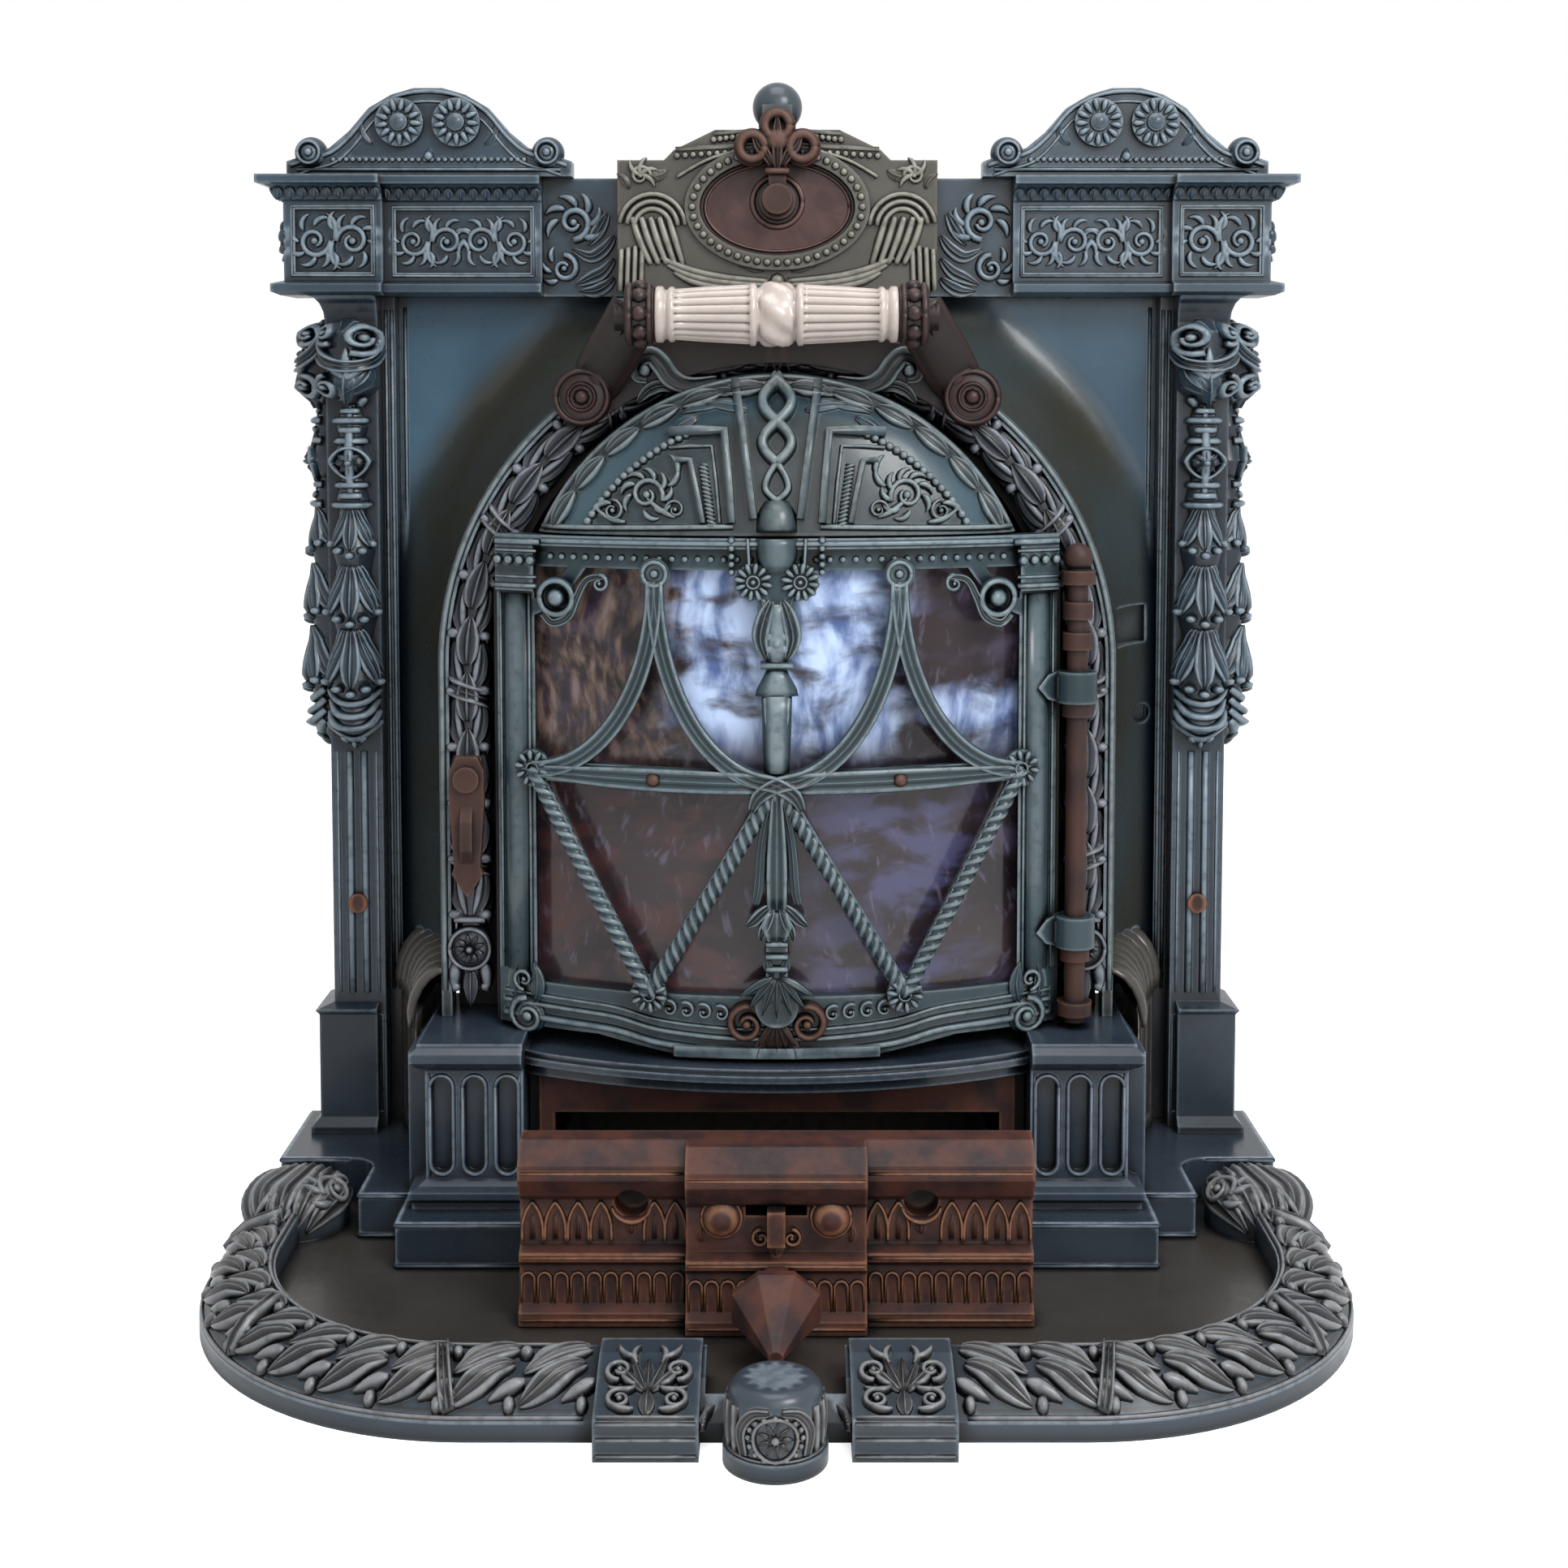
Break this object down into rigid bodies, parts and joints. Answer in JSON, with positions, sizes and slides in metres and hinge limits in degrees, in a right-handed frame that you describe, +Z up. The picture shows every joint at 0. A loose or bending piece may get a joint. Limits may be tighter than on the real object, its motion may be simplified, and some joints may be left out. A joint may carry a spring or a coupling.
{
  "type": "cast iron stove",
  "caption": "Enamelled cast iron fireplace stove with a bow-fronted mica door, arched garland facade, ash drawer, hearth plate and porcelain carrying grip.",
  "frame": {"origin": "centre of the footprint's bounding box, on the floor", "axes": "+Z up, the door faces -Y, +X to the viewer's right"},
  "size_m": [0.628, 0.546, 0.687],
  "materials": {
    "enamel": "glossy blue-green enamel, pale on raised edges",
    "rusty_iron": "rusted",
    "bracket_iron": "dark maroon, worn",
    "dark_iron": "sooty, matte",
    "porcelain": "glossy white",
    "mica": "smoky, crazed",
    "firebrick": "rough"
  },
  "bodies": {
    "stove": {"hearth_plate": "enamel", "plinth": "enamel", "left_pedestal": "enamel", "right_pedestal": "enamel", "left_cove_base": "enamel", "right_cove_base": "enamel", "facade_plate": "enamel", "left_pilaster": "enamel", "right_pilaster": "enamel", "left_entablature": "enamel", "right_entablature": "enamel", "left_pediment": "enamel", "right_pediment": "enamel", "frieze_panel": "enamel", "cartouche": "enamel", "garland_arch": "enamel", "hood": "enamel", "apron_shelf": "enamel", "oval_plate": "rusty_iron", "ash_pit_frame": "rusty_iron", "hinge_pin": "rusty_iron", "hinge_brackets": "rusty_iron", "latch_stud": "rusty_iron", "pilaster_bolts": "rusty_iron", "handle_bracket": "bracket_iron", "handle_rod": "bracket_iron", "bracket_screws": "bracket_iron", "arch_frame": "dark_iron", "firebox_shell": "dark_iron", "back_plate": "dark_iron", "flue_collar": "dark_iron", "grate_frame": "dark_iron", "fire_grate": "dark_iron", "left_pit_wall": "dark_iron", "right_pit_wall": "dark_iron", "tie_rods": "dark_iron", "tie_nuts": "dark_iron", "left_firebrick": "firebrick", "right_firebrick": "firebrick", "rear_firebrick": "firebrick"},
    "door": {"door_frame": "enamel", "door_grille": "enamel", "upper_mica": "mica", "lower_mica": "mica", "mica_retainer": "dark_iron", "retainer_screws": "dark_iron", "hinge_straps": "enamel"},
    "latch": {"latch_lever": "rusty_iron"},
    "damper": {"damper_key": "rusty_iron", "damper_spindle": "rusty_iron", "damper_plate": "dark_iron"},
    "drawer": {"ash_drawer_front": "rusty_iron", "ash_pan": "rusty_iron", "drawer_knob": "rusty_iron"},
    "air_shutter": {"air_slide": "rusty_iron"},
    "grip": {"porcelain_grip": "porcelain"}
  },
  "joints": [
    {"name": "door_hinge", "type": "hinge", "parent": "stove", "child": "door", "pos_m": [0.172, -0.004, 0.26], "axis": [0, 0, 1], "range_deg": [0, 110]},
    {"name": "latch_pivot", "type": "hinge", "parent": "stove", "child": "latch", "pos_m": [-0.178, -0.006, 0.279], "axis": [0, -1, 0], "range_deg": [-35, 13]},
    {"name": "damper_turn", "type": "hinge", "parent": "stove", "child": "damper", "pos_m": [0, 0.064, 0.6145], "axis": [0, 1, 0], "range_deg": [0, 90]},
    {"name": "drawer_slide", "type": "slide", "parent": "stove", "child": "drawer", "axis": [0, -1, 0], "range_m": [-0.095, 0.006]},
    {"name": "air_slide_move", "type": "slide", "parent": "drawer", "child": "air_shutter", "axis": [1, 0, 0], "range_m": [-0.011, 0.011]},
    {"name": "grip_spin", "type": "hinge", "parent": "stove", "child": "grip", "pos_m": [0, -0.041, 0.543], "axis": [1, 0, 0], "continuous": true}
  ]
}
